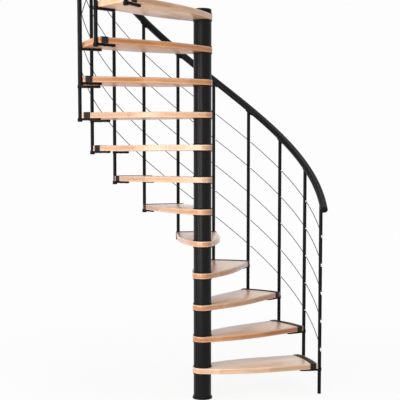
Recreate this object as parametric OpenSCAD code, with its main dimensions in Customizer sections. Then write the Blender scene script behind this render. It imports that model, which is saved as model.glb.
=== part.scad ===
// Spiral staircase: wooden treads clamped round a steel column, with tubular
// balusters, a round handrail and taut wire infill along the outside.
// Origin on the column's axis at floor level, +Z up, +X through the first baluster.
// The stair climbs counter-clockwise seen from above.

/* [Stair] */
// Number of treads
tread_count = 12; // [6:1:16]
// Height from one tread top to the next
riser = 210; // [190:1:230]
// Turn from one tread to the next, in degrees
turn_angle = 19.1; // [17:0.1:22]
// Distance from the column's axis to the balusters' axes
baluster_circle = 800; // [720:1:900]

/* [Treads] */
// Thickness of a tread
tread_t = 37; // [30:1:45]
// Rounding of a tread's upper and lower edges
arris = 4; // [2:0.5:6]
// Width of a tread along its parallel outer part
tread_w = 296; // [276:1:320]
// Gap between a tread's outer end and the balusters
tread_gap = 1; // [1:0.5:12]
// Distance from the column's axis at which the tread's sides turn parallel
side_start = 450; // [380:1:520]
// How far the round hub of a tread stands out past the column's rims
hub_margin = 1; // [1:0.5:6]

/* [Tread strips] */
// Width of the black strip near a tread's outer end
strip_w = 42; // [20:1:50]
// Wood left outside the strip
strip_inset = 14; // [10:1:40]
// Depth to which the strip is let into the top and the edges
strip_t = 4; // [2:0.5:6]

/* [Column] */
// Outside diameter of the column's spacer tubes
spacer_d = 117; // [100:1:120]
// Wall of the spacer tubes
spacer_wall = 3; // [2:0.5:5]
// Diameter of the rounded rims at both ends of a spacer
rim_d = 126; // [124:1:136]
// Height of one rim
rim_h = 8; // [5:0.5:10]
// Diameter of the plate under the column
base_d = 132; // [126:1:160]
// Thickness of the plate under the column
base_t = 10; // [6:0.5:16]
// Rounding of the plate's upper edge
base_edge = 4; // [2:0.5:5]
// Number of floor anchors
anchor_count = 3; // [3:1:4]
// Diameter of the circle of floor anchors
anchor_circle = 80; // [76:1:84]
// Diameter of an anchor hole
anchor_d = 11; // [8:0.5:13]
// Diameter of the centre pole inside the spacers
pole_d = 48; // [40:1:54]
// Wall of the centre pole
pole_wall = 4; // [2.5:0.5:6]
// Height of the cap on top of the column
cap_h = 34; // [26:1:60]
// Wall of the cap
cap_wall = 3; // [2:0.5:5]
// Rounding of the cap's upper edge
cap_edge = 5; // [2:0.5:6]

/* [Brackets] */
// Reach of a bracket arm from the baluster's axis towards the column
arm_l = 136; // [110:1:160]
// Width of a bracket arm
arm_w = 24; // [16:1:26]
// Depth of a bracket arm below the tread
arm_t = 14; // [10:1:18]
// Wall of a bracket's ring or socket
ring_wall = 4; // [3:0.5:6]
// How far a front bracket's ring stands up into the tread
ring_rise = 5; // [2:0.5:10]
// Height of the rounded lips at both ends of a front bracket's ring
ring_lip = 4; // [2:0.5:5]
// Clearance round a front bracket's ring in the tread
ring_fit = 0.5; // [0.2:0.1:1]
// Depth of a rear bracket's socket below the tread's underside
socket_h = 23; // [18:1:30]
// Thickness of the socket's floor
socket_floor = 3; // [2:0.5:5]
// Rounding of the socket's lower edge
socket_edge = 4; // [2:0.5:5]

/* [Balusters] */
// Diameter of a baluster
baluster_d = 24; // [20:0.5:26]
// Wall of a baluster
baluster_wall = 2; // [1.5:0.1:3]
// Clearance round a baluster in its brackets
baluster_fit = 0.3; // [0.1:0.1:0.6]

/* [Handrail] */
// Height of the handrail's axis above a tread top, at that tread's baluster
rail_height = 1333; // [1150:1:1450]
// Diameter of the handrail
rail_d = 50; // [42:1:56]
// Depth of the flat along the handrail's underside
rail_flat = 2; // [1:0.5:4]
// Length of the handrail past the first and the last baluster
rail_overhang = 98; // [50:1:140]
// Thickness of the handrail's end caps
end_cap_t = 6; // [4:0.5:12]
// Length of the saddle that carries the handrail on a baluster
saddle_l = 62; // [44:1:80]
// Thickness of a saddle
saddle_t = 5; // [3:0.5:8]
// Clearance between a saddle and the handrail, which twists a little along it
saddle_fit = 0.3; // [0.2:0.1:0.6]

/* [Wires] */
// Number of wires
wire_count = 5; // [3:1:5]
// Diameter of a wire
wire_d = 6; // [4:0.5:7]
// Height of the lowest wire above a tread top, at that tread's baluster
wire_low = 333; // [300:1:360]
// Height from one wire to the next
wire_spacing = 191; // [170:1:200]
// Clearance round a wire in a baluster or an end stop
wire_fit = 0.3; // [0.2:0.1:0.6]
// Length of wire between the last baluster's axis and its end stop
wire_tail = 36; // [28:1:60]
// Diameter of a wire's end stop
stop_d = 10; // [9:0.5:13]
// Length of a wire's end stop
stop_l = 22; // [16:1:34]
// Rounding of an end stop's outer end
stop_edge = 4; // [1:0.5:4]

/* [Hidden] */
$fn = 96;
// Facets of the large arcs of a tread's end and sides
end_sides = 360;
side_sides = 720;
// Steps of the handrail and of a wire from one baluster to the next
rail_steps = 6;
wire_steps = 4;
rail_sides = 24;
wire_sides = 8;
// Overlap that carries a cut clear of the face it goes through
cut = 1;

arc_step = baluster_circle * turn_angle * PI / 180;
slope = atan(riser / arc_step);
ring_d = baluster_d + 2 * (baluster_fit + ring_wall);
tread_r = baluster_circle - baluster_d / 2 - tread_gap;
hub_r = rim_d / 2 + hub_margin;
half_w = tread_w / 2;
// Radius of a tread's curved side, tangent to the hub and to the parallel side
side_r = (pow(side_start, 2) + pow(half_w, 2) - pow(hub_r, 2)) / (2 * (half_w - hub_r));
side_centre = side_r - half_w;
// Point and bearing at which that side touches the hub
hub_touch = hub_r / (side_r - hub_r) * [-side_start, side_centre];
hub_touch_angle = 90 + asin(side_start / (side_r - hub_r));
pole_fit = 0.3;
strip_outer_r = tread_r - strip_inset;
strip_inner_r = strip_outer_r - strip_w;
top_level = tread_count * riser;
rail_drop = (rail_d / 2 - rail_flat + saddle_fit) / cos(slope);
saddle_drop = rail_drop + saddle_t / cos(slope);
saddle_w = baluster_d;
rail_flat_half = sqrt(pow(rail_d / 2, 2) - pow(rail_d / 2 - rail_flat, 2));
overhang_angle = rail_overhang / arc_step * turn_angle;
last_angle = tread_count * turn_angle;
// Half the turn over which a wire runs straight through a baluster and a little past it
wire_lead = 2;
hole_angle = (baluster_d / 2 + wire_lead) / arc_step * turn_angle;
tail_angle = wire_tail / arc_step * turn_angle;
// Part of an end stop's length that grips the wire
stop_grip = 0.6;
stop_bore = stop_l * stop_grip;

black = [0.13, 0.13, 0.14];
beech = [0.85, 0.64, 0.44];
steel = [0.72, 0.73, 0.75];

// Bearing of a tread's middle line
function tread_bearing(n) = (n - 0.5) * turn_angle;
// Level of a tread's underside
function underside(n) = n * riser - tread_t;
// Height of a wire above the tread level at its baluster
function wire_height(i) = wire_low + (i - 1) * wire_spacing;

// A helix on the baluster circle and the three directions that go with it
function helix_point(a, z) = [
    baluster_circle * cos(a),
    baluster_circle * sin(a),
    z + a / turn_angle * riser
];
function outward(a) = [cos(a), sin(a), 0];
function along(a) = [-sin(a) * cos(slope), cos(a) * cos(slope), sin(slope)];
function upward(a) = [sin(a) * sin(slope), -cos(a) * sin(slope), cos(slope)];

// Places its children on the helix: X outward, Y along the helix, Z square to both
module on_helix(a, z) {
    o = outward(a);
    t = along(a);
    u = upward(a);
    p = helix_point(a, z);
    multmatrix([
        [o[0], t[0], u[0], p[0]],
        [o[1], t[1], u[1], p[1]],
        [o[2], t[2], u[2], p[2]],
        [0, 0, 0, 1]
    ]) children();
}

// A section of [outward, upward] points carried along the helix through the given turns
module helix_sweep(section, turns, z) {
    sides = len(section);
    last = len(turns) - 1;
    points = [
        for (a = turns, s = section)
            helix_point(a, z) + s[0] * outward(a) + s[1] * upward(a)
    ];
    walls = [
        for (i = [0:last - 1], j = [0:sides - 1], half = [0, 1])
            let (
                here = i * sides + j,
                next = i * sides + (j + 1) % sides
            )
            half == 0 ? [here, next, next + sides] : [here, next + sides, here + sides]
    ];
    ends = [
        [for (j = [sides - 1:-1:0]) j],
        [for (j = [0:sides - 1]) last * sides + j]
    ];
    polyhedron(points, concat(walls, ends));
}

// A quarter disc between the X and Y axes
module quarter(r) {
    intersection() {
        circle(r = r);
        square(r);
    }
}

// A half disc on the right of the Y axis
module half_round(r) {
    quarter(r);
    mirror([0, 1]) quarter(r);
}

// Half the section of a disc with a rounded upper edge
module rounded_top(r, h, edge) {
    square([r, h - edge]);
    square([r - edge, h]);
    translate([r - edge, h - edge]) quarter(edge);
}

module base_plate() {
    color(black) difference() {
        rotate_extrude() rounded_top(base_d / 2, base_t, base_edge);
        for (i = [0:anchor_count - 1])
            rotate(i * 360 / anchor_count)
                translate([anchor_circle / 2, 0, -cut])
                    cylinder(d = anchor_d, h = base_t + 2 * cut);
    }
}

// Half the section of a rim, rounded outside
module rim_section() {
    bead = rim_h / 2;
    square([rim_d / 2 - bead, rim_h]);
    translate([rim_d / 2 - bead, bead]) half_round(bead);
}

// A tube with a rim at both ends, standing on the XY plane
module spacer(h) {
    rotate_extrude() difference() {
        union() {
            square([spacer_d / 2, h]);
            rim_section();
            translate([0, h - rim_h]) rim_section();
        }
        translate([0, -cut]) square([spacer_d / 2 - spacer_wall, h + 2 * cut]);
    }
}

module column_spacers() {
    color(black) {
        translate([0, 0, base_t]) spacer(underside(1) - base_t);
        for (n = [1:tread_count - 1])
            translate([0, 0, n * riser]) spacer(riser - tread_t);
    }
}

// The tube that threads the spacers and treads, up into the cap
module centre_pole() {
    color(steel) translate([0, 0, base_t]) difference() {
        cylinder(d = pole_d, h = top_level - base_t + cap_h - cap_wall);
        translate([0, 0, -cut])
            cylinder(d = pole_d - 2 * pole_wall, h = top_level + cap_h);
    }
}

module column_cap() {
    color(black) translate([0, 0, top_level]) difference() {
        rotate_extrude() {
            rounded_top(spacer_d / 2, cap_h, cap_edge);
            rim_section();
        }
        translate([0, 0, -cut])
            cylinder(d = spacer_d - 2 * cap_wall, h = cap_h - cap_wall + cut);
    }
}

// Half of a tread's section, from its middle out to an edge rounded above and below
module board_half(reach) {
    flat = reach - arris;
    square([flat, tread_t]);
    translate([flat, arris]) square([arris, tread_t - 2 * arris]);
    translate([flat, arris]) mirror([0, 1]) quarter(arris);
    translate([flat, tread_t - arris]) quarter(arris);
}

// A large disc whose edge is one of a tread's curved sides
module side_disc(side) {
    translate([side_start, side * side_centre, 0])
        rotate_extrude($fn = side_sides) board_half(side_r);
}

// A whole tread with its underside on the XY plane, pointing along X: a round hub,
// two curved sides that leave it smoothly, a parallel part and a curved end
module tread_blank() {
    intersection() {
        rotate_extrude($fn = end_sides) board_half(tread_r);
        union() {
            rotate(hub_touch_angle)
                rotate_extrude(angle = 360 - 2 * hub_touch_angle) board_half(hub_r);
            intersection() {
                side_disc(1);
                side_disc(-1);
                linear_extrude(tread_t) polygon([
                    [0, 0],
                    [2 * hub_touch[0], -2 * hub_touch[1]],
                    [side_start, -tread_w],
                    [side_start, tread_w],
                    2 * hub_touch
                ]);
            }
            translate([side_start, 0, 0]) rotate([90, 0, 90])
                linear_extrude(tread_r - side_start) {
                    board_half(half_w);
                    mirror([1, 0]) board_half(half_w);
                }
        }
    }
}

// The strip's room: a curved band that runs over the top and down both edges
module strip_room() {
    difference() {
        translate([0, 0, -cut]) difference() {
            cylinder(r = strip_outer_r, h = tread_t + 2 * cut, $fn = end_sides);
            translate([0, 0, -cut])
                cylinder(r = strip_inner_r, h = tread_t + 4 * cut, $fn = end_sides);
        }
        translate([0, strip_t - half_w, -2 * cut])
            cube([tread_r, tread_w - 2 * strip_t, tread_t - strip_t + 2 * cut]);
    }
}

module at_tread(n) {
    rotate(tread_bearing(n)) translate([0, 0, underside(n)]) children();
}

// A tread with its strip's room, the pole's hole and a shallow seat for the front ring
module tread(n) {
    color(beech) at_tread(n) difference() {
        tread_blank();
        strip_room();
        translate([0, 0, -cut]) cylinder(d = pole_d + 2 * pole_fit, h = tread_t + 2 * cut);
        rotate(-turn_angle / 2) translate([baluster_circle, 0, -cut])
            cylinder(d = ring_d + 2 * ring_fit, h = ring_rise + ring_fit + cut);
    }
}

module tread_strips() {
    color(black) for (n = [1:tread_count])
        at_tread(n) intersection() {
            tread_blank();
            strip_room();
        }
}

// A flat arm under a tread, with its top on the XY plane and the baluster on the Z axis
module bracket_arm() {
    translate([0, 0, -arm_t]) linear_extrude(arm_t) {
        translate([arm_w / 2 - arm_l, 0]) circle(d = arm_w);
        translate([arm_w / 2 - arm_l, -arm_w / 2]) square([arm_l - arm_w / 2, arm_w]);
    }
}

// Half the section of a ring with a rounded lip at both ends and a groove between them
module ring_section(h) {
    lip = ring_lip / 2;
    square([ring_d / 2 - lip, h]);
    for (z = [lip, h - lip])
        translate([ring_d / 2 - lip, z]) half_round(lip);
}

// The front bracket's open ring lets the baluster of the tread below pass through
module front_bracket() {
    ring_h = arm_t + ring_rise;
    difference() {
        union() {
            bracket_arm();
            translate([0, 0, -arm_t]) rotate_extrude() ring_section(ring_h);
        }
        translate([0, 0, -arm_t - cut])
            cylinder(d = baluster_d + 2 * baluster_fit, h = ring_h + 2 * cut);
    }
}

// The rear bracket's blind socket carries the foot of its own baluster
module rear_bracket() {
    difference() {
        union() {
            bracket_arm();
            mirror([0, 0, 1]) rotate_extrude() rounded_top(ring_d / 2, socket_h, socket_edge);
        }
        translate([0, 0, socket_floor - socket_h])
            cylinder(d = baluster_d + 2 * baluster_fit, h = socket_h);
    }
}

module front_brackets() {
    color(black) for (n = [1:tread_count])
        rotate((n - 1) * turn_angle)
            translate([baluster_circle, 0, underside(n)]) front_bracket();
}

module rear_brackets() {
    color(black) for (n = [1:tread_count])
        rotate(n * turn_angle)
            translate([baluster_circle, 0, underside(n)]) rear_bracket();
}

// A tube from its socket, or from the floor, to the sloping saddle, drilled for the wires
module baluster(k) {
    foot = k == 0 ? 0 : underside(k) - socket_h + socket_floor;
    head = k * riser + rail_height - saddle_drop;
    spare = baluster_d;
    color(black) difference() {
        rotate(k * turn_angle) translate([baluster_circle, 0, foot]) difference() {
            cylinder(d = baluster_d, h = head - foot + spare);
            translate([0, 0, -cut])
                cylinder(d = baluster_d - 2 * baluster_wall, h = head - foot + spare + 2 * cut);
        }
        on_helix(k * turn_angle, rail_height - saddle_drop)
            translate([-spare, -2 * spare, 0]) cube([2 * spare, 4 * spare, 3 * spare]);
        for (i = [1:wire_count])
            on_helix(k * turn_angle, wire_height(i))
                rotate([90, 0, 0])
                    cylinder(d = wire_d + 2 * wire_fit, h = 2 * baluster_d, center = true);
    }
}

// Small plates between the balusters' mitred heads and the handrail
module rail_saddles() {
    color(black) for (k = [0:tread_count])
        on_helix(k * turn_angle, rail_height - saddle_drop)
            linear_extrude(saddle_t) {
                translate([-saddle_w / 2, (saddle_w - saddle_l) / 2])
                    square([saddle_w, saddle_l - saddle_w]);
                for (side = [-1, 1])
                    translate([0, side * (saddle_l - saddle_w) / 2]) circle(d = saddle_w);
            }
}

// A round rail with a narrow flat along its underside
module handrail() {
    flat_half_angle = asin(rail_flat_half / (rail_d / 2));
    section = [
        for (j = [0:rail_sides - 1])
            let (turn = flat_half_angle - 90 + j * (360 - 2 * flat_half_angle) / (rail_sides - 1))
            rail_d / 2 * [cos(turn), sin(turn)]
    ];
    steps = ceil(tread_count * rail_steps);
    span = last_angle + 2 * overhang_angle;
    color(black)
        helix_sweep(section, [for (i = [0:steps]) i * span / steps - overhang_angle], rail_height);
}

// Shallow plugs with a rounded edge that close both ends of the handrail
module rail_end_caps() {
    color(black) for (end = [0, 1])
        on_helix(end == 0 ? -overhang_angle : last_angle + overhang_angle, rail_height)
            rotate([end == 0 ? 90 : -90, 0, 0])
                rotate_extrude() rounded_top(rail_d / 2, end_cap_t, end_cap_t / 2);
}

// A taut wire that runs straight through each baluster and bends between them
module wire(i) {
    section = [
        for (j = [0:wire_sides - 1])
            let (turn = j * 360 / wire_sides)
            wire_d / 2 * [cos(turn), sin(turn)]
    ];
    between = turn_angle - 2 * hole_angle;
    turns = concat(
        [-tail_angle],
        [
            for (k = [0:tread_count - 1], s = [0:wire_steps])
                k * turn_angle + hole_angle + s * between / wire_steps
        ],
        [last_angle + tail_angle]
    );
    color(steel) helix_sweep(section, turns, wire_height(i));
}

// Turned sleeves pressed onto both ends of every wire
module wire_end_stops() {
    color(steel) for (i = [1:wire_count], end = [0, 1])
        on_helix(end == 0 ? -tail_angle : last_angle + tail_angle, wire_height(i))
            rotate([end == 0 ? 90 : -90, 0, 0])
                translate([0, 0, -stop_bore]) difference() {
                    rotate_extrude() rounded_top(stop_d / 2, stop_l, stop_edge);
                    translate([0, 0, -cut])
                        cylinder(d = wire_d + 2 * wire_fit, h = stop_bore + cut + wire_fit);
                }
}

base_plate();
column_spacers();
centre_pole();
column_cap();
for (n = [1:tread_count])
    tread(n);
tread_strips();
front_brackets();
rear_brackets();
for (k = [0:tread_count])
    baluster(k);
rail_saddles();
handrail();
rail_end_caps();
for (i = [1:wire_count])
    wire(i);
wire_end_stops();
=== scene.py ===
import math

import bmesh
import bpy
from mathutils import Matrix, Vector


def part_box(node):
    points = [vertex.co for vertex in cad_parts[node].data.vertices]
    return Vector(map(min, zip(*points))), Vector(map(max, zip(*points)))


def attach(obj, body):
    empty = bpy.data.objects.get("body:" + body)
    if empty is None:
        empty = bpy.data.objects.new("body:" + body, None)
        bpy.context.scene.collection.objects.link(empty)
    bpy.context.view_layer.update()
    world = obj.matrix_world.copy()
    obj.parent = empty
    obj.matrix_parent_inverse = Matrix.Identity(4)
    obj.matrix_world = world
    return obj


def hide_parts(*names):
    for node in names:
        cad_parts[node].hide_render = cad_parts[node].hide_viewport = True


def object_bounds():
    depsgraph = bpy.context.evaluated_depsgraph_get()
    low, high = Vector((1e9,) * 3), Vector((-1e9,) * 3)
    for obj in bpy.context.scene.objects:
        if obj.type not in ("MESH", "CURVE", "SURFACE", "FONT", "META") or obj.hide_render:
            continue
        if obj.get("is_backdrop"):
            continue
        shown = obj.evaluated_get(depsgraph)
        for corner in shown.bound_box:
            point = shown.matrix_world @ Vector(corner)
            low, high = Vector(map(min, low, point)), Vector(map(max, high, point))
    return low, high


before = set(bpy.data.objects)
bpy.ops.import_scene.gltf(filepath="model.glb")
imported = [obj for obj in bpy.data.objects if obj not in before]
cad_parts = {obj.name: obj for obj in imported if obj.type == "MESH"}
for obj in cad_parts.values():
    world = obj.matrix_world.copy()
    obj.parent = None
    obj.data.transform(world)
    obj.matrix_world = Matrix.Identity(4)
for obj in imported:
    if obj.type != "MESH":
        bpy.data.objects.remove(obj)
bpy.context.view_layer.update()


# Column foot: a thick steel disc under the column, black powder coated.
# It is anchored to the floor through holes that the first spacer tube covers.
# The disc is a profile spun round the column's axis, with its edges rounded over.

def shader_node(tree, kind, inputs=(), **settings):
    """A node with its settings, and with its inputs set to values or fed from sockets."""
    made = tree.nodes.new(kind)
    for key, value in settings.items():
        setattr(made, key, value)
    for key, value in dict(inputs).items():
        if isinstance(value, bpy.types.NodeSocket):
            tree.links.new(value, made.inputs[key])
        else:
            made.inputs[key].default_value = value
    return made


def new_material(name):
    """A node material, its tree and its Principled shader."""
    material = bpy.data.materials.new(name)
    material.use_nodes = True
    return material, material.node_tree, material.node_tree.nodes["Principled BSDF"]


def coating_skin_group():
    """Tone, roughness and height of a sprayed or moulded black skin: clouds, dust and a fine peel."""
    group = bpy.data.node_groups.new("coating_skin", "ShaderNodeTree")
    for name in ("Peel scale", "Gloss", "Dull"):
        group.interface.new_socket(name, in_out="INPUT", socket_type="NodeSocketFloat")
    for name in ("Tone", "Roughness", "Height"):
        group.interface.new_socket(name, in_out="OUTPUT", socket_type="NodeSocketFloat")
    taken = group.nodes.new("NodeGroupInput").outputs
    given = group.nodes.new("NodeGroupOutput").inputs
    place = shader_node(group, "ShaderNodeTexCoord").outputs["Object"]
    clouds = shader_node(group, "ShaderNodeTexNoise", {
        "Vector": place, "Scale": 9.0, "Detail": 4.0, "Roughness": 0.6})
    peel = shader_node(group, "ShaderNodeTexNoise", {
        "Vector": place, "Scale": taken["Peel scale"], "Detail": 2.0})
    specks = shader_node(group, "ShaderNodeTexNoise", {"Vector": place, "Scale": 420.0, "Detail": 1.0})
    dust = shader_node(group, "ShaderNodeMapRange", {
        "Value": specks.outputs["Fac"], "From Min": 0.66, "From Max": 0.8})
    dust_share = 0.35
    tone = shader_node(group, "ShaderNodeMath", {
        0: dust.outputs["Result"], 1: dust_share, 2: clouds.outputs["Fac"]}, operation="MULTIPLY_ADD")
    rough = shader_node(group, "ShaderNodeMapRange", {
        "Value": tone.outputs[0], "From Min": 0.3, "From Max": 0.75,
        "To Min": taken["Gloss"], "To Max": taken["Dull"]})
    group.links.new(tone.outputs[0], given["Tone"])
    group.links.new(rough.outputs["Result"], given["Roughness"])
    group.links.new(peel.outputs["Fac"], given["Height"])
    return group


coating_skin = coating_skin_group()


def black_skin(name, deep, pale, peel_scale, gloss, dull, peel_depth, shine):
    """A black finish whose tone, gloss and fine peel change over the surface."""
    material, tree, shader = new_material(name)
    skin = shader_node(tree, "ShaderNodeGroup", node_tree=coating_skin)
    skin.inputs["Peel scale"].default_value = peel_scale
    skin.inputs["Gloss"].default_value = gloss
    skin.inputs["Dull"].default_value = dull
    colour = shader_node(tree, "ShaderNodeMix", {
        "Factor": skin.outputs["Tone"], "A": deep, "B": pale}, data_type="RGBA")
    bump = shader_node(tree, "ShaderNodeBump", {
        "Height": skin.outputs["Height"], "Distance": peel_depth, "Strength": 0.5})
    tree.links.new(colour.outputs["Result"], shader.inputs["Base Color"])
    tree.links.new(skin.outputs["Roughness"], shader.inputs["Roughness"])
    tree.links.new(bump.outputs["Normal"], shader.inputs["Normal"])
    shader.inputs["Specular IOR Level"].default_value = shine
    return material


coat_deep = (0.003, 0.003, 0.0034, 1)
coat_pale = (0.008, 0.008, 0.009, 1)
coat_peel = 700.0
powder_coat = black_skin(
    "black_powder_coat", coat_deep, coat_pale, coat_peel,
    gloss=0.30, dull=0.37, peel_depth=0.00006, shine=0.13)
weld_gap = 1e-6
sliver = 2e-5
rounded_turn = math.radians(40)
crease_turn = math.radians(35)


def turned(bm, profile, steps=48):
    """Spins a profile of (radius, height) points round the Z axis."""
    verts = [bm.verts.new((r, 0, z)) for r, z in profile]
    edges = [bm.edges.new(pair) for pair in zip(verts, verts[1:])]
    bmesh.ops.spin(bm, geom=verts + edges, cent=(0, 0, 0), axis=(0, 0, 1),
                   angle=math.tau, steps=steps, use_merge=True)
    bmesh.ops.remove_doubles(bm, verts=bm.verts, dist=weld_gap)
    bmesh.ops.recalc_face_normals(bm, faces=bm.faces)


def round_over(bm, width, segments=2, chosen=None):
    """Rounds every edge that turns sharply, or those of them that are chosen."""
    sharp = [e for e in bm.edges if len(e.link_faces) == 2 and e.calc_face_angle() > rounded_turn]
    edges = [e for e in sharp if chosen is None or chosen(e)]
    bmesh.ops.bevel(bm, geom=edges, offset=width, segments=segments, profile=0.5,
                    affect="EDGES", material=-1, clamp_overlap=True)
    bmesh.ops.remove_doubles(bm, verts=bm.verts, dist=sliver)


def place_copies(bm, shape, matrices):
    """Adds a copy of a shape at each matrix, and lets go of the shape."""
    for matrix in matrices:
        copy = shape.copy()
        copy.transform(matrix)
        mesh = bpy.data.meshes.new("copy")
        copy.to_mesh(mesh)
        copy.free()
        bm.from_mesh(mesh)
        bpy.data.meshes.remove(mesh)
    shape.free()


def fit_piece(name, bm, material, nodes=()):
    """Makes a finished mesh a piece of the stair that stands for the named solids."""
    bmesh.ops.recalc_face_normals(bm, faces=bm.faces)
    mesh = bpy.data.meshes.new(name)
    bm.to_mesh(mesh)
    bm.free()
    mesh.shade_smooth()
    mesh.set_sharp_from_angle(angle=crease_turn)
    mesh.materials.append(material)
    piece = bpy.data.objects.new(name, mesh)
    bpy.context.scene.collection.objects.link(piece)
    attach(piece, "root")
    if nodes:
        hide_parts(*nodes)
    return piece


base_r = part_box("base_plate")[1].x
base_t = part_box("base_plate")[1].z
base_edge = 0.004
column_steps = 96
bm = bmesh.new()
turned(bm, [(0, 0), (base_r, 0), (base_r, base_t), (0, base_t)], column_steps)
round_over(bm, base_edge, 4, lambda e: all(v.co.z > base_t / 2 for v in e.verts))
fit_piece("column_foot_disc", bm, powder_coat, ["base_plate"])


# Column tubes: twelve steel spacer tubes, one below each tread, black powder coated.
# Each has a half-round rim at both ends and is clamped between two treads.
# A tube is its profile spun round the column's axis.

tread_nodes = [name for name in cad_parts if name.startswith("tread_") and name != "tread_strips"]
tread_count = len(tread_nodes)
tread_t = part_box("tread_1")[1].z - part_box("tread_1")[0].z
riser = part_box("tread_2")[1].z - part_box("tread_1")[1].z
tube_r = 0.0585
tube_bore = 0.0555
rim_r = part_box("column_spacers")[1].x
rim_h = 0.008


def bead(reach, low, high, steps=8):
    """Profile points up a half-round edge between two heights."""
    r = (high - low) / 2
    turns = [math.pi * i / steps for i in range(steps + 1)]
    return [(reach - r + r * math.sin(t), low + r - r * math.cos(t)) for t in turns]


bm = bmesh.new()
for n in range(tread_count):
    low = base_t if n == 0 else n * riser
    high = (n + 1) * riser - tread_t
    lower_rim = bead(rim_r, low, low + rim_h)
    upper_rim = bead(rim_r, high - rim_h, high)
    tube = [(tube_r, low + rim_h), (tube_r, high - rim_h)]
    bore = [(tube_bore, high), (tube_bore, low)]
    turned(bm, [(tube_bore, low)] + lower_rim + tube + upper_rim + bore, column_steps)
fit_piece("column_tubes", bm, powder_coat, ["column_spacers"])


# Centre pole: a galvanised tube that threads the spacer tubes and treads, hidden inside them.
# It stays as it was built and gets the mottled zinc skin of such tubes.


def bare_metal(tree, shader, tint_by, deep, pale, rough_by, smooth, rough):
    """Gives a bare metal two tints and two roughnesses, each mixed by a pattern on its surface."""
    tint = shader_node(tree, "ShaderNodeMix", {
        "Factor": tint_by, "A": deep, "B": pale}, data_type="RGBA")
    roughness = shader_node(tree, "ShaderNodeMapRange", {
        "Value": rough_by, "To Min": smooth, "To Max": rough})
    tree.links.new(tint.outputs["Result"], shader.inputs["Base Color"])
    tree.links.new(roughness.outputs["Result"], shader.inputs["Roughness"])
    shader.inputs["Metallic"].default_value = 1.0


zinc, tree, shader = new_material("galvanised_zinc")
place = shader_node(tree, "ShaderNodeTexCoord").outputs["Object"]
spangle = shader_node(tree, "ShaderNodeTexVoronoi", {
    "Vector": place, "Scale": 60.0}).outputs["Distance"]
bare_metal(tree, shader, spangle, (0.42, 0.43, 0.45, 1), (0.62, 0.63, 0.64, 1),
           spangle, smooth=0.3, rough=0.55)
for material_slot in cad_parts["centre_pole"].material_slots:
    material_slot.material = zinc


# Treads: twelve boards of finger-jointed beech staves, clear lacquered, with rounded arrises.
# Each has a round hub bored for the pole, curved sides, a parallel part and a curved end.
# Half of a board is drawn with arcs, mirrored and raised, with a groove left for its strip.

hub_lip = 0.001
hub_r = rim_r + hub_lip
bore_r = 0.0243
half_w = 0.148
side_start = 0.450
tread_r = 0.787
strip_inset = 0.014
strip_w = 0.042
strip_t = 0.004
arris = 0.004
stave_w = half_w / 3
groove_w = half_w - strip_t
strip_outer_r = tread_r - strip_inset
strip_inner_r = strip_outer_r - strip_w
side_r = (side_start ** 2 + half_w ** 2 - hub_r ** 2) / (2 * (half_w - hub_r))
side_centre = Vector((side_start, half_w - side_r, 0))
hub_touch_angle = math.atan2(-side_centre.y, -side_centre.x)
first_post = (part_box("baluster_0")[0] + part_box("baluster_0")[1]) / 2
next_post = (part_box("baluster_1")[0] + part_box("baluster_1")[1]) / 2
turn = math.atan2(next_post.y, next_post.x)
hair = 1e-5


def arc(bm, start, centre, angle, steps):
    """Spins a vertex round a vertical axis and returns the vertices along its arc."""
    before = len(bm.verts)
    bmesh.ops.spin(bm, geom=[start], cent=centre, axis=(0, 0, 1), angle=angle, steps=steps)
    bm.verts.ensure_lookup_table()
    return [start] + bm.verts[before:]


def ring_arc(bm, radius, stops, steps):
    """Arcs of a circle round the column from the middle line out to each distance off it."""
    found = [bm.verts.new((radius, 0, 0))]
    reached = 0
    arcs = []
    for stop, count in zip(stops, steps):
        angle = math.asin(stop / radius)
        arcs.append(arc(bm, found[-1], (0, 0, 0), angle - reached, count))
        found.append(arcs[-1][-1])
        reached = angle
    return arcs


def raise_faces(bm, faces, height):
    """Extrudes faces straight up or down and returns the moved ones."""
    edges = list(dict.fromkeys(e for f in faces for e in f.edges))
    made = bmesh.ops.extrude_face_region(bm, geom=faces + edges)["geom"]
    bmesh.ops.translate(bm, verts=[g for g in made if isinstance(g, bmesh.types.BMVert)], vec=(0, 0, height))
    return [g for g in made if isinstance(g, bmesh.types.BMFace)]


def mirror_across(bm):
    """Mirrors a half plan over the middle line and joins the halves."""
    half = bm.verts[:] + bm.edges[:] + bm.faces[:]
    bmesh.ops.mirror(bm, geom=half, matrix=Matrix(), merge_dist=weld_gap, axis="Y")
    bmesh.ops.remove_doubles(bm, verts=bm.verts, dist=weld_gap)
    bmesh.ops.recalc_face_normals(bm, faces=bm.faces)


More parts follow.
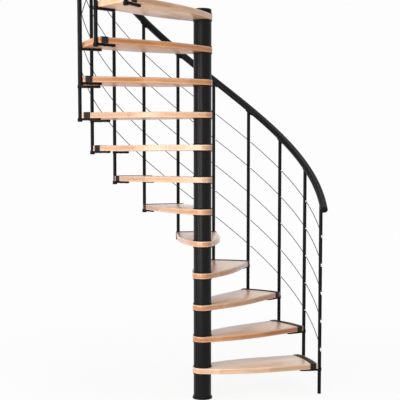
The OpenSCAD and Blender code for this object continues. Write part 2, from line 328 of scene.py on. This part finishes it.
def tread_board():
    """One tread that points along X, with its underside on the XY plane."""
    bm = bmesh.new()
    bore = arc(bm, bm.verts.new((-bore_r, 0, 0)), (0, 0, 0), -math.pi, 16)
    inner, inner_notch = ring_arc(bm, strip_inner_r, (groove_w, half_w), (10, 1))
    outer, outer_notch = ring_arc(bm, strip_outer_r, (groove_w, half_w), (10, 1))
    corner = ring_arc(bm, tread_r, (half_w,), (12,))[0]
    side = arc(bm, bm.verts.new((side_start, half_w, 0)), side_centre, hub_touch_angle - math.pi / 2, 18)
    hub = arc(bm, side[-1], (0, 0, 0), math.pi - hub_touch_angle, 14)
    bm.faces.new(bore + inner + inner_notch[1:] + side + hub[1:])
    bm.faces.new(inner + outer[::-1])
    bm.faces.new(outer + outer_notch[1:] + corner[::-1])
    mirror_across(bm)
    lifted = raise_faces(bm, bm.faces[:], tread_t - strip_t)
    beside_groove = [
        f for f in lifted
        if any(not strip_inner_r - hair < v.co.xy.length < strip_outer_r + hair for v in f.verts)
    ]
    raise_faces(bm, beside_groove, strip_t)
    bmesh.ops.recalc_face_normals(bm, faces=bm.faces)
    kept_sharp = (bore_r, strip_inner_r, strip_outer_r)
    round_over(bm, arris, 3, lambda e: not all(
        any(abs(v.co.xy.length - r) < hair for r in kept_sharp) for v in e.verts))
    return bm


def tread_place(n):
    """Where tread n goes: turned to its bearing, with its top at its level."""
    return Matrix.Rotation((n - 0.5) * turn, 4, "Z") @ Matrix.Translation((0, 0, n * riser - tread_t))


# Each board's pattern starts a step further along, so that no two boards have the same grain
board_step = 2.0
board_start = 0.5
stave_salt = 3.7
stave_shift = 0.6
finger_pitch = 0.0021
finger_stretch = 4.0
block_l = 0.41
block_jump = 40.0
block_spread = 0.5
pore_level = 0.4
pore_depth = 0.7
fleck_depth = 0.4
fleck_sink = 2.0
beech, tree, shader = new_material("lacquered_beech")
board = shader_node(tree, "ShaderNodeAttribute", attribute_name="board").outputs["Vector"]
axes = shader_node(tree, "ShaderNodeSeparateXYZ", {"Vector": board}).outputs


def math_node(operation, *values):
    """The result of one sum on values or sockets, in the material at hand."""
    return shader_node(tree, "ShaderNodeMath", enumerate(values), operation=operation).outputs[0]


def wood_noise(along, across, offset, detail):
    """Noise drawn out along the staves, shifted from block to block."""
    streak = shader_node(tree, "ShaderNodeVectorMath", {
        0: board, 1: (along, across, across)}, operation="MULTIPLY")
    shifted = shader_node(tree, "ShaderNodeVectorMath", {
        0: streak.outputs[0], 1: offset}, operation="ADD")
    return shader_node(tree, "ShaderNodeTexNoise", {
        "Vector": shifted.outputs[0], "Scale": 1.0, "Detail": detail, "Roughness": 0.6}).outputs["Fac"]


stave_place = math_node("DIVIDE", math_node("ADD", axes["Y"], half_w), stave_w)
stave = math_node("FLOOR", stave_place)
board_number = math_node("FLOOR", math_node("DIVIDE", axes["X"], board_step))
stave_key = shader_node(tree, "ShaderNodeCombineXYZ", {
    "X": stave, "Y": board_number, "Z": stave_salt}).outputs[0]
stave_start = shader_node(tree, "ShaderNodeTexWhiteNoise", {"Vector": stave_key}).outputs["Value"]
finger = math_node("MULTIPLY", math_node("PINGPONG", axes["Y"], finger_pitch), finger_stretch)
stave_offset = math_node("MULTIPLY", stave_start, stave_shift)
run = math_node("ADD", math_node("ADD", axes["X"], finger), stave_offset)
block = math_node("FLOOR", math_node("DIVIDE", run, block_l))
block_key = shader_node(tree, "ShaderNodeCombineXYZ", {
    "X": stave, "Y": block, "Z": board_number}).outputs[0]
block_noise = shader_node(tree, "ShaderNodeTexWhiteNoise", {"Vector": block_key})
block_shift = shader_node(tree, "ShaderNodeVectorMath", {
    0: block_noise.outputs["Color"], "Scale": block_jump}, operation="SCALE").outputs[0]
figure = wood_noise(along=2.2, across=42.0, offset=block_shift, detail=5.0)
pores = wood_noise(along=38.0, across=900.0, offset=block_shift, detail=2.0)
rays = wood_noise(along=240.0, across=1500.0, offset=block_shift, detail=1.0)
ray_flecks = shader_node(tree, "ShaderNodeMapRange", {
    "Value": rays, "From Min": 0.6, "From Max": 0.72}).outputs[0]
joint_gap = math_node("PINGPONG", stave_place, 0.5)
glue_line = shader_node(tree, "ShaderNodeMapRange", {
    "Value": joint_gap, "From Min": 0.0, "From Max": 0.012, "To Min": 1.0, "To Max": 0.0}).outputs[0]
tone = shader_node(tree, "ShaderNodeAttribute", attribute_name="tone").outputs["Fac"]
least_tone = math_node("SUBTRACT", tone, block_spread / 2)
block_tone = math_node("MULTIPLY_ADD", block_noise.outputs["Value"], block_spread, least_tone)
block_colour = shader_node(tree, "ShaderNodeMix", {
    "Factor": block_tone, "A": (0.83, 0.60, 0.42, 1), "B": (0.58, 0.25, 0.078, 1)},
    data_type="RGBA").outputs["Result"]


def darkened(colour, factor, tint):
    """A colour multiplied by a tint where the factor is high, in the material at hand."""
    return shader_node(tree, "ShaderNodeMix", {
        "Factor": factor, "A": colour, "B": tint},
        data_type="RGBA", blend_type="MULTIPLY").outputs["Result"]


figure_fac = shader_node(tree, "ShaderNodeMapRange", {
    "Value": figure, "From Min": 0.35, "From Max": 0.7, "To Max": 0.8}).outputs[0]
figured = darkened(block_colour, figure_fac, tint=(0.80, 0.64, 0.50, 1))
pore_fac = math_node("MULTIPLY", math_node("SUBTRACT", pores, pore_level), pore_depth)
pored = darkened(figured, pore_fac, tint=(0.62, 0.50, 0.40, 1))
fleck_fac = math_node("MULTIPLY", math_node("ADD", ray_flecks, glue_line), fleck_depth)
wood_colour = darkened(pored, fleck_fac, tint=(0.55, 0.40, 0.30, 1))
hub_x = math_node("MULTIPLY_ADD", board_number, board_step, board_start)
board_x = math_node("SUBTRACT", axes["X"], hub_x)
end_grain = shader_node(tree, "ShaderNodeMapRange", {
    "Value": board_x, "From Min": 0.05, "From Max": -0.03}).outputs[0]
ended = darkened(wood_colour, end_grain, tint=(0.91, 0.80, 0.71, 1))
# Painted highlight and reflection: by height within the board, the wood is lightened towards a pale tint in
# bands along the bottom and top arrises and over the whole top face.
arris_painted_highlight = shader_node(tree, "ShaderNodeValToRGB", {"Fac": math_node("DIVIDE", axes["Z"], tread_t)})
arris_painted_highlight.color_ramp.elements[0].color = (0, 0, 0, 1)
arris_painted_highlight.color_ramp.elements[1].color = (0.35, 0.35, 0.35, 1)
arris_highlight_levels = (
    (0.03, 0.0), (0.08, 0.25), (0.2, 0.2), (0.3, 0.0), (0.7, 0.0), (0.82, 0.25), (0.97, 0.35))
for height, highlight_paleness in arris_highlight_levels:
    arris_painted_highlight.color_ramp.elements.new(height).color = (highlight_paleness, highlight_paleness, highlight_paleness, 1)
highlighted_wood_colour = shader_node(tree, "ShaderNodeMix", {
    "Factor": arris_painted_highlight.outputs["Color"], "A": ended, "B": (0.88, 0.74, 0.61, 1)},
    data_type="RGBA").outputs["Result"]
lacquer_weight = shader_node(tree, "ShaderNodeMapRange", {
    "Value": axes["Z"], "From Min": 0.0, "From Max": arris, "To Min": 0.2, "To Max": 0.6}).outputs[0]
lacquer_rough = shader_node(tree, "ShaderNodeMapRange", {
    "Value": figure, "From Min": 0.3, "From Max": 0.7, "To Min": 0.26, "To Max": 0.36}).outputs[0]
wood_height = math_node("SUBTRACT", pores, math_node("MULTIPLY", fleck_fac, fleck_sink))
wood_bump = shader_node(tree, "ShaderNodeBump", {
    "Height": wood_height, "Distance": 0.0002, "Strength": 0.35})
tree.links.new(highlighted_wood_colour, shader.inputs["Base Color"])
tree.links.new(lacquer_rough, shader.inputs["Roughness"])
tree.links.new(wood_bump.outputs["Normal"], shader.inputs["Normal"])
shader.inputs["Specular IOR Level"].default_value = 0.3
tree.links.new(lacquer_weight, shader.inputs["Coat Weight"])
shader.inputs["Coat Roughness"].default_value = 0.28

# From the lowest board to the highest, pale at 0 and orange brown at 1
board_tones = (0.1, 1.0, 0.75, 0.75, 0.45, 0.45, 0.2, 0.25, 0.5, 1.0, 1.1, 0.3)
for n in range(1, tread_count + 1):
    bm = tread_board()
    place_layer = bm.verts.layers.float_vector.new("board")
    tone_layer = bm.verts.layers.float.new("tone")
    for v in bm.verts:
        v[place_layer] = v.co + Vector((board_step * n + board_start, 0, 0))
        v[tone_layer] = board_tones[n - 1]
    bm.transform(tread_place(n))
    fit_piece(f"tread_board_{n}", bm, beech, [f"tread_{n}"])


# Tread strips: black rubber bands let into each tread near its outer end, against slipping.
# A ribbed band is glued in its groove, over the top and down both edges, and stands a little proud.
# Half a band is drawn with arcs, mirrored and raised, its legs are drawn down and its grooves sunk.

strip_gap = 0.00025
bend = groove_w + strip_gap
strip_rise = 0.003
strip_bend_r = 0.006
strip_edge_r = 0.002
strip_half_w = half_w + strip_rise
rib_count = 3
rib_pitch = strip_w / rib_count
rib_gap = 0.003
rib_depth = 0.0008
rib_slant = 0.0004
ring_reach = 1e-4
rib_gaps = [strip_inner_r + i * rib_pitch for i in range(1, rib_count)]
rubber = black_skin(
    "strip_rubber", (0.014, 0.014, 0.0135, 1), (0.034, 0.034, 0.033, 1), peel_scale=1400.0,
    gloss=0.46, dull=0.60, peel_depth=0.0003, shine=0.12)
tree = rubber.node_tree
shader = tree.nodes["Principled BSDF"]
plain_colour = shader.inputs["Base Color"].links[0].from_socket
place = shader_node(tree, "ShaderNodeTexCoord").outputs["Object"]
plan = shader_node(tree, "ShaderNodeVectorMath", {
    0: place, 1: (1, 1, 0)}, operation="MULTIPLY").outputs[0]
radius = shader_node(tree, "ShaderNodeVectorMath", {0: plan}, operation="LENGTH").outputs["Value"]
across = math_node("DIVIDE", math_node("SUBTRACT", radius, strip_inner_r), rib_pitch)
# Painted shade: the band's colour is darkened along its rib grooves and along both of its edges, where shade
# falls.
groove_painted_shade = shader_node(tree, "ShaderNodeMapRange", {
    "Value": math_node("PINGPONG", across, 0.5), "From Min": 0.26, "From Max": 0.12},
    interpolation_type="SMOOTHSTEP").outputs[0]
groove_shaded_colour = darkened(plain_colour, groove_painted_shade, tint=(0.15, 0.15, 0.15, 1))
tree.links.new(groove_shaded_colour, shader.inputs["Base Color"])


def faces_out(face):
    """Whether a face is on the outside of a band, over the tread or down its edges."""
    side = math.copysign(1, sum(v.co.y for v in face.verts))
    return face.normal.dot((0, side, 1)) > 0.5


def on_ring(verts, radius, reach=ring_reach):
    """Whether all vertices lie at a distance from the column's axis."""
    return all(abs(v.co.xy.length - radius) < reach for v in verts)


bm = bmesh.new()
rib_edges = [r + side * rib_gap / 2 for r in rib_gaps for side in (-1, 1)]
band_edges = (strip_inner_r + strip_gap, strip_outer_r - strip_gap)
ring_radii = [band_edges[0]] + rib_edges + [band_edges[1]]
rings = [ring_arc(bm, r, (bend, strip_half_w), (10, 1)) for r in ring_radii]
for near, far in zip(rings, rings[1:]):
    for near_arc, far_arc in zip(near, far):
        bm.faces.new(near_arc + far_arc[::-1])
mirror_across(bm)
legs = [f for f in bm.faces if all(abs(v.co.y) > bend - hair for v in f.verts)]
raise_faces(bm, bm.faces[:], strip_t - strip_gap + strip_rise)
raise_faces(bm, legs, strip_t - strip_gap - tread_t)
bmesh.ops.recalc_face_normals(bm, faces=bm.faces)
bmesh.ops.translate(bm, verts=bm.verts, vec=(0, 0, tread_t - strip_t + strip_gap))
round_over(bm, strip_bend_r, 4, lambda e: all(
    abs(v.co.y) > strip_half_w - hair and v.co.z > tread_t for v in e.verts))
bm.normal_update()
round_over(bm, strip_edge_r, 3, lambda e: any(
    on_ring(e.verts, r) for r in band_edges) and any(faces_out(f) for f in e.link_faces))
bm.normal_update()
gap_reach = rib_gap / 2 + ring_reach
sunk_faces = [
    f for f in bm.faces
    if faces_out(f) and any(on_ring(f.verts, r, gap_reach) for r in rib_gaps)
]
bmesh.ops.inset_region(bm, faces=sunk_faces, thickness=rib_slant, depth=-rib_depth,
                       use_boundary=True, use_even_offset=True)
strips = bmesh.new()
place_copies(strips, bm, [tread_place(n) for n in range(1, tread_count + 1)])
fit_piece("tread_strip_bands", strips, rubber, ["tread_strips"])


# Brackets: black coated castings under both edges of a tread, screwed to it from below.
# A front bracket's open ring lets a baluster pass, a rear bracket's closed socket carries one.
# An arm is drawn flat with a round end and a hollow end, then thickened; rings are spun.

casting_coat = black_skin(
    "black_casting_coat", coat_deep, (0.009, 0.009, 0.010, 1), coat_peel,
    gloss=0.34, dull=0.44, peel_depth=0.00008, shine=0.05)
post_circle = first_post.x
post_r = first_post.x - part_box("baluster_0")[0].x
ring_fit = 0.0003
ring_wall = 0.004
ring_bore = post_r + ring_fit
ring_r = ring_bore + ring_wall
ring_steps = 40
ring_lip = 0.004
ring_rise = 0.005
arm_l = 0.136
arm_w = 0.024
arm_t = 0.014
arm_edge = 0.002
arm_gap = 0.001
socket_h = 0.023
socket_floor = 0.003
socket_edge = 0.004
screw_r = 0.0042
screw_h = 0.0022
screw_places = (0.02, 0.075)


def bracket_arm():
    """An arm from the baluster's axis towards the column, with its top on the XY plane."""
    bm = bmesh.new()
    nose = arm_w / 2 - arm_l
    hollow_r = ring_bore + arm_gap
    hollow_x = -math.sqrt(hollow_r ** 2 - (arm_w / 2) ** 2)
    hollow_angle = math.atan2(arm_w / 2, -hollow_x)
    round_end = arc(bm, bm.verts.new((nose, arm_w / 2, 0)), (nose, 0, 0), math.pi, 14)
    hollow = arc(bm, bm.verts.new((hollow_x, -arm_w / 2, 0)), (0, 0, 0), -2 * hollow_angle, 12)
    bm.faces.new(round_end + hollow)
    raise_faces(bm, bm.faces[:], -arm_t)
    bmesh.ops.recalc_face_normals(bm, faces=bm.faces)
    round_over(bm, arm_edge, 3, lambda e: all(v.co.xy.length > ring_r for v in e.verts))
    return bm


def dome_screw(radius, height):
    """A domed screw head that stands up from the XY plane, with a round driver recess."""
    bm = bmesh.new()
    turned(bm, [
        (0, 0), (radius, 0), (radius, height * 0.35), (radius * 0.8, height * 0.8),
        (radius * 0.45, height), (radius * 0.4, height * 0.4), (0, height * 0.4)], 12)
    return bm


front_bracket = bracket_arm()
ring = bmesh.new()
lower_lip = bead(ring_r, -arm_t, ring_lip - arm_t)
upper_lip = bead(ring_r, ring_rise - ring_lip, ring_rise)
ring_inside = [(ring_bore, ring_rise), (ring_bore, -arm_t)]
turned(ring, [(ring_bore, -arm_t)] + lower_lip + upper_lip + ring_inside, ring_steps)
place_copies(front_bracket, ring, [Matrix()])
rear_bracket = bracket_arm()
socket = bmesh.new()
turned(socket, [
    (0, -socket_h), (ring_r, -socket_h), (ring_r, 0), (ring_bore, 0),
    (ring_bore, socket_floor - socket_h), (0, socket_floor - socket_h)], ring_steps)
round_over(socket, socket_edge, 4, lambda e: all(v.co.z < -socket_h + hair for v in e.verts))
place_copies(rear_bracket, socket, [Matrix()])
for name, shape, shift, node in (
    ("front_bracket_castings", front_bracket, 1, "front_brackets"),
    ("rear_bracket_castings", rear_bracket, 0, "rear_brackets"),
):
    places = [
        Matrix.Rotation((n - shift) * turn, 4, "Z")
        @ Matrix.Translation((post_circle, 0, n * riser - tread_t))
        for n in range(1, tread_count + 1)
    ]
    bm = bmesh.new()
    place_copies(bm, shape, places)
    fit_piece(name, bm, casting_coat, [node])
    screws = bmesh.new()
    place_copies(screws, dome_screw(screw_r, screw_h), [
        place @ Matrix.Translation((x - arm_l, 0, -arm_t)) @ Matrix.Rotation(math.pi, 4, "X")
        for place in places for x in screw_places])
    fit_piece(name.replace("castings", "screws"), screws, casting_coat)


# Balusters: thirteen steel tubes, black powder coated, drilled for the wires.
# Each stands in the socket of a rear bracket, the first on the floor, and is mitred at the top.
# A tube is spun, and its head is cut to the handrail's slope and closed.

tube_coat = black_skin(
    "black_tube_coat", coat_deep, coat_pale, coat_peel,
    gloss=0.30, dull=0.38, peel_depth=0.00004, shine=0.07)
post_steps = 32
slope = math.atan2(riser, post_circle * turn)
rail_height = 1.333
rail_r = 0.025
rail_flat = 0.002
saddle_t = 0.005
saddle_fit = 0.0003
head_drop = (rail_r - rail_flat + saddle_fit + saddle_t) / math.cos(slope)


def helix_place(angle, height):
    """Axes on the balusters' helix: X outward, Y along it and Z square to both."""
    outward = Vector((math.cos(angle), math.sin(angle), 0))
    along = Vector((
        -math.sin(angle) * math.cos(slope), math.cos(angle) * math.cos(slope), math.sin(slope)))
    upward = outward.cross(along)
    point = outward * post_circle + Vector((0, 0, height + angle / turn * riser))
    return Matrix.Translation(point) @ Matrix((outward, along, upward)).transposed().to_4x4()


for k in range(tread_count + 1):
    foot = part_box(f"baluster_{k}")[0].z
    head = helix_place(k * turn, rail_height - head_drop)
    top = k * riser + rail_height
    bm = bmesh.new()
    turned(bm, [(0, foot), (post_r, foot), (post_r, top), (0, top)], post_steps)
    bm.transform(Matrix.Rotation(k * turn, 4, "Z") @ Matrix.Translation((post_circle, 0, 0)))
    cut = bmesh.ops.bisect_plane(
        bm, geom=bm.verts[:] + bm.edges[:] + bm.faces[:], plane_co=head.translation,
        plane_no=head.col[2].xyz, clear_outer=True)["geom_cut"]
    bmesh.ops.contextual_create(bm, geom=[g for g in cut if isinstance(g, bmesh.types.BMEdge)])
    fit_piece(f"baluster_tube_{k}", bm, tube_coat, [f"baluster_{k}"])


# Rail saddles: thirteen small steel plates on the balusters' mitred heads, black powder coated.
# Each carries the handrail and is screwed to it from below.
# A plate is drawn flat with two round ends, thickened and rounded over.

saddle_l = 0.062
saddle_w = 2 * post_r
saddle_edge = 0.0012
saddle_screw_r = 0.0034
saddle_screw_h = 0.0018
saddle_screw_reach = 0.021
shape = bmesh.new()
reach = (saddle_l - saddle_w) / 2
far_end = arc(shape, shape.verts.new((saddle_w / 2, reach, 0)), (0, reach, 0), math.pi, 12)
near_end = arc(shape, shape.verts.new((-saddle_w / 2, -reach, 0)), (0, -reach, 0), math.pi, 12)
shape.faces.new(far_end + near_end)
raise_faces(shape, shape.faces[:], saddle_t)
bmesh.ops.recalc_face_normals(shape, faces=shape.faces)
round_over(shape, saddle_edge)
heads = [helix_place(k * turn, rail_height - head_drop) for k in range(tread_count + 1)]
bm = bmesh.new()
place_copies(bm, shape, heads)
fit_piece("rail_saddle_plates", bm, tube_coat, ["rail_saddles"])
screws = bmesh.new()
place_copies(screws, dome_screw(saddle_screw_r, saddle_screw_h), [
    head @ Matrix.Translation((0, y, 0)) @ Matrix.Rotation(math.pi, 4, "X")
    for head in heads for y in (-saddle_screw_reach, saddle_screw_reach)])
fit_piece("rail_saddle_screws", screws, casting_coat)


# Handrail: a round black plastic rail bent to the helix, with a narrow flat underneath.
# It lies on the saddles, and a shallow moulded plug closes each end.
# A circle with its underside pressed flat is spun round the stair as it rises.

rail_plastic = black_skin(
    "rail_plastic", (0.007, 0.007, 0.008, 1), (0.011, 0.011, 0.012, 1), peel_scale=500.0,
    gloss=0.28, dull=0.36, peel_depth=0.00006, shine=0.1)
rail_overhang = 0.098
rail_over = rail_overhang / post_circle
rail_sides = 36
rail_steps = 240
last_turn = tread_count * turn


def helix_sweep(bm, height, start, end, steps):
    """Stands a flat ring on the helix and spins it from one turn to the other."""
    bm.transform(helix_place(start, height) @ Matrix.Rotation(math.pi / 2, 4, "X"))
    rise = (end - start) / turn * riser / steps
    bmesh.ops.spin(bm, geom=bm.verts[:] + bm.edges[:], cent=(0, 0, 0), axis=(0, 0, 1),
                   dvec=(0, 0, rise), angle=end - start, steps=steps)


bm = bmesh.new()
bmesh.ops.create_circle(bm, segments=rail_sides, radius=rail_r)
for v in bm.verts:
    v.co.y = max(v.co.y, rail_flat - rail_r)
helix_sweep(bm, rail_height, -rail_over, last_turn + rail_over, rail_steps)
bmesh.ops.holes_fill(bm, edges=[e for e in bm.edges if e.is_boundary])
fit_piece("handrail_tube", bm, rail_plastic, ["handrail"])

plug_plastic = black_skin(
    "plug_plastic", (0.004, 0.004, 0.004, 1), (0.010, 0.010, 0.010, 1), peel_scale=900.0,
    gloss=0.36, dull=0.5, peel_depth=0.0001, shine=0.08)
plug_t = 0.006
plug_edge = 0.003
shape = bmesh.new()
turned(shape, [(0, 0), (rail_r, 0), (rail_r, plug_t), (0, plug_t)], ring_steps)
round_over(shape, plug_edge, 4, lambda e: all(v.co.z > plug_t / 2 for v in e.verts))
bm = bmesh.new()
place_copies(bm, shape, [
    helix_place(-rail_over, rail_height) @ Matrix.Rotation(math.pi / 2, 4, "X"),
    helix_place(last_turn + rail_over, rail_height) @ Matrix.Rotation(-math.pi / 2, 4, "X")])
fit_piece("handrail_end_plugs", bm, plug_plastic, ["rail_end_caps"])


# Column cap: a moulded black plastic cap that closes the column above the last tread.
# It covers the pole's nut and is pushed on.
# The cap is its profile spun round the column's axis, with the top rounded over.

cap_base = tread_count * riser
cap_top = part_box("column_cap")[1].z
cap_edge = 0.005
cap_rim = bead(rim_r, cap_base, cap_base + rim_h)
bm = bmesh.new()
cap_dome = [(tube_r, cap_base + rim_h), (tube_r, cap_top), (0, cap_top)]
turned(bm, [(0, cap_base)] + cap_rim + cap_dome, column_steps)
round_over(bm, cap_edge, 4, lambda e: all(v.co.z > cap_top - hair for v in e.verts))
fit_piece("column_top_cap", bm, plug_plastic, ["column_cap"])


# Wires: five stainless strands of seven wires, stretched through holes in the balusters.
# They follow the stair's curve, and a sleeve crimped beside each baluster keeps them from slipping.
# A ring with six lobes is spun up the helix, and each ring is then turned a little more.

wire_count = 5
wire_r = 0.003
wire_low = 0.333
wire_spacing = 0.191
wire_overhang = 0.036
wire_tail = wire_overhang / post_circle
strand_lay = 0.045
lay_steps = 7
ring_count = 12
lobe_share = 0.9

stainless, tree, shader = new_material("stainless_wire")
place = shader_node(tree, "ShaderNodeTexCoord").outputs["Object"]
tarnish = shader_node(tree, "ShaderNodeTexNoise", {
    "Vector": place, "Scale": 14.0, "Detail": 4.0}).outputs["Fac"]
scratch = shader_node(tree, "ShaderNodeTexNoise", {
    "Vector": place, "Scale": 600.0, "Detail": 2.0}).outputs["Fac"]
bare_metal(tree, shader, tarnish, (0.055, 0.054, 0.051, 1), (0.095, 0.093, 0.089, 1),
           scratch, smooth=0.28, rough=0.46)

span = last_turn + 2 * wire_tail
wire_steps = round(span * post_circle / math.cos(slope) / strand_lay * lay_steps)
strand = bmesh.new()
bmesh.ops.create_circle(strand, segments=ring_count, radius=wire_r)
strand.verts.ensure_lookup_table()
for v in strand.verts[:][::2]:
    v.co *= lobe_share
helix_sweep(strand, wire_low, -wire_tail, last_turn + wire_tail, wire_steps)
strand.verts.ensure_lookup_table()
for i in range(wire_steps + 1):
    there = helix_place(i * span / wire_steps - wire_tail, wire_low)
    lay_turn = Matrix.Rotation(i * math.tau / lay_steps, 3, there.col[1].xyz)
    ring_verts = strand.verts[i * ring_count:(i + 1) * ring_count]
    bmesh.ops.rotate(strand, verts=ring_verts, cent=there.translation, matrix=lay_turn)
bmesh.ops.holes_fill(strand, edges=[e for e in strand.edges if e.is_boundary])
for i in range(wire_count):
    bm = strand.copy()
    bmesh.ops.translate(bm, verts=bm.verts, vec=(0, 0, i * wire_spacing))
    fit_piece(f"wire_strand_{i + 1}", bm, stainless, [f"wire_{i + 1}"])
strand.free()

polished, tree, shader = new_material("turned_stainless")
place = shader_node(tree, "ShaderNodeTexCoord").outputs["Object"]
turning = shader_node(tree, "ShaderNodeTexNoise", {
    "Vector": place, "Scale": 900.0, "Detail": 2.0}).outputs["Fac"]
bare_metal(tree, shader, turning, (0.60, 0.60, 0.59, 1), (0.74, 0.74, 0.73, 1),
           turning, smooth=0.16, rough=0.32)

sleeve_r = 0.0046
sleeve_l = 0.010
sleeve_edge = 0.0008
sleeve_bore = wire_r * lobe_share
sleeve = bmesh.new()
turned(sleeve, [
    (sleeve_bore, 0), (sleeve_r, 0), (sleeve_r, sleeve_l), (sleeve_bore, sleeve_l), (sleeve_bore, 0)], 16)
round_over(sleeve, sleeve_edge)
sleeve_turn = post_r / post_circle
bm = bmesh.new()
place_copies(bm, sleeve, [
    helix_place(k * turn - sleeve_turn, wire_low + i * wire_spacing) @ Matrix.Rotation(math.pi / 2, 4, "X")
    for k in range(1, tread_count + 1) for i in range(wire_count)])
fit_piece("wire_sleeves", bm, polished)


# Wire end stops: ten stainless sleeves, turned and crimped onto the ends of the wires.
# They hold the wires' pull against the first and the last baluster.
# A sleeve is its stepped profile spun round the wire's axis.

stop_r = 0.005
stop_edge = 0.004
stop_l = 0.022
stop_bore = 0.6 * stop_l
stop_end = stop_l - stop_bore
crimp_r = 0.86 * stop_r
crimp_low = 0.0006
crimp_high = 0.0022
crimp_end = 0.0028
shape = bmesh.new()
turned(shape, [
    (0, -stop_bore), (stop_r, -stop_bore), (stop_r, 0), (crimp_r, crimp_low),
    (crimp_r, crimp_high), (stop_r, crimp_end), (stop_r, stop_end), (0, stop_end)], 24)
round_over(shape, stop_edge, 4, lambda e: all(v.co.z > stop_end - hair for v in e.verts))
bm = bmesh.new()
place_copies(bm, shape, [
    helix_place(angle, wire_low + i * wire_spacing) @ Matrix.Rotation(tilt, 4, "X")
    for i in range(wire_count)
    for angle, tilt in ((-wire_tail, math.pi / 2), (last_turn + wire_tail, -math.pi / 2))])
fit_piece("wire_end_sleeves", bm, polished, ["wire_end_stops"])


# Studio: a plain white floor under a white surround, two tall soft lights on the left and one above.
# The floor and the surround show white to the camera, and the floor keeps the stair's shadow.

floor_r = 40
bm = bmesh.new()
bmesh.ops.create_circle(bm, cap_ends=True, segments=64, radius=floor_r)
mesh = bpy.data.meshes.new("studio_floor")
bm.to_mesh(mesh)
bm.free()
floor = bpy.data.objects.new("studio_floor", mesh)
bpy.context.scene.collection.objects.link(floor)
floor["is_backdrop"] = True
white_floor, tree, shader = new_material("white_floor")
mesh.materials.append(white_floor)
shader.inputs["Base Color"].default_value = (0.8, 0.8, 0.8, 1)
shader.inputs["Roughness"].default_value = 0.9
seen = shader_node(tree, "ShaderNodeLightPath").outputs


def seen_directly(tree, rays):
    """One for rays from the camera, from gloss and through glass."""
    gloss = shader_node(tree, "ShaderNodeMath", {
        0: rays["Is Camera Ray"], 1: rays["Is Glossy Ray"]}, operation="MAXIMUM")
    return shader_node(tree, "ShaderNodeMath", {
        0: gloss.outputs[0], 1: rays["Is Transmission Ray"]}, operation="MAXIMUM").outputs[0]


glow = shader_node(tree, "ShaderNodeEmission", {"Color": (1, 1, 1, 1), "Strength": 1.0})
floor_place = shader_node(tree, "ShaderNodeTexCoord").outputs["Object"]
distance = shader_node(tree, "ShaderNodeVectorMath", {
    0: floor_place}, operation="LENGTH").outputs["Value"]
whiteness = shader_node(tree, "ShaderNodeMapRange", {
    "Value": distance, "From Min": 1.0, "From Max": 4.5, "To Min": 0.9, "To Max": 0.97},
    interpolation_type="SMOOTHSTEP").outputs[0]
share = shader_node(tree, "ShaderNodeMath", {
    0: seen_directly(tree, seen), 1: whiteness}, operation="MULTIPLY")
blend = shader_node(tree, "ShaderNodeMixShader", {
    0: share.outputs[0], 1: shader.outputs[0], 2: glow.outputs[0]})
tree.links.new(blend.outputs[0], tree.nodes["Material Output"].inputs["Surface"])

world = bpy.data.worlds.new("white_surround")
world.use_nodes = True
bpy.context.scene.world = world
tree = world.node_tree
seen = shader_node(tree, "ShaderNodeLightPath").outputs
level = shader_node(tree, "ShaderNodeMapRange", {
    "Value": seen_directly(tree, seen), "To Min": 0.42, "To Max": 0.98})
tree.nodes["Background"].inputs["Color"].default_value = (1, 1, 1, 1)
tree.links.new(level.outputs["Result"], tree.nodes["Background"].inputs["Strength"])


def soft_light(name, place, target, size, power):
    """An upright soft box of a width and height that looks at a point."""
    lamp = bpy.data.lights.new(name, "AREA")
    lamp.shape = "RECTANGLE"
    lamp.size, lamp.size_y = size
    lamp.energy = power
    light = bpy.data.objects.new(name, lamp)
    light.location = place
    light.rotation_euler = (Vector(target) - Vector(place)).to_track_quat("-Z", "Y").to_euler()
    bpy.context.scene.collection.objects.link(light)


stair_middle = (0, 0, 1.5)
soft_light("front_light", (-1.6, -3.2, 1.6), stair_middle, size=(0.6, 2.6), power=66)
soft_light("top_light", (0.3, -0.8, 9.0), stair_middle, size=(4.0, 4.0), power=230)
soft_light("side_light", (-3.0, -1.9, 1.6), stair_middle, size=(0.7, 2.6), power=60)

camera_dip = 4.061
camera_turn = 7.458
camera_data = bpy.data.cameras.new("photo_camera")
camera_data.lens = 78.21
camera_data.shift_y = 0.06
camera_data.sensor_width = 36.0
camera = bpy.data.objects.new("photo_camera", camera_data)
camera.location = (-0.7565, -5.6545, 1.5662)
camera.rotation_euler = (math.radians(90 - camera_dip), 0, math.radians(-camera_turn))
bpy.context.scene.collection.objects.link(camera)
bpy.context.scene.camera = camera
bpy.context.scene.view_settings.view_transform = "Standard"

low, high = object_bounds()
